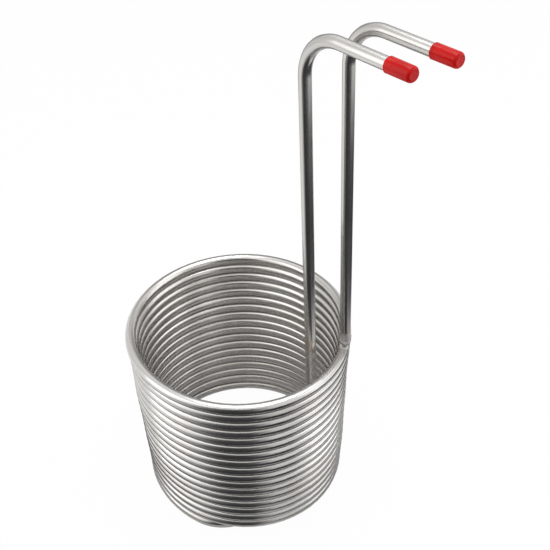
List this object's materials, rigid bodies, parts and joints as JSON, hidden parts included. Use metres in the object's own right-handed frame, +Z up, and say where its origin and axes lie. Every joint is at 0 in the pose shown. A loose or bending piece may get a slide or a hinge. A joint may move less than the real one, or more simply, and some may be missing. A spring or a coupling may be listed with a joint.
{
  "type": "immersion wort chiller",
  "caption": "Stainless immersion wort chiller: a close-wound standing coil of 10 mm tube with two welded risers that bend over into level hose legs, each closed by a red push-on cap.",
  "frame": {"origin": "on the coil's axis, in the plane of the flat ground under the lowest turn", "axes": "+Z up along the coil's axis; +X to the right and +Y away, seen from the side that the two hose legs point towards, the legs turning from -Y towards +X"},
  "size_m": [0.2696, 0.2458, 0.5059],
  "materials": {
    "tube_steel": "drawn and polished stainless tube",
    "weld_steel": "matte, pickled weld bead",
    "cap_plastic": "glossy soft plastic"
  },
  "bodies": {
    "chiller": {"coil_tube": "tube_steel", "outlet_riser": "tube_steel", "inlet_riser": "tube_steel", "outlet_weld": "weld_steel", "inlet_weld": "weld_steel"},
    "outlet_cap": {"outlet_cap": "cap_plastic"},
    "inlet_cap": {"inlet_cap": "cap_plastic"}
  },
  "joints": [
    {"name": "outlet_cap_pull", "type": "slide", "parent": "chiller", "child": "outlet_cap", "axis": [0.592, -0.8059, 0], "range_m": [0, 0.04]},
    {"name": "inlet_cap_pull", "type": "slide", "parent": "chiller", "child": "inlet_cap", "axis": [0.592, -0.8059, 0], "range_m": [0, 0.04]}
  ]
}
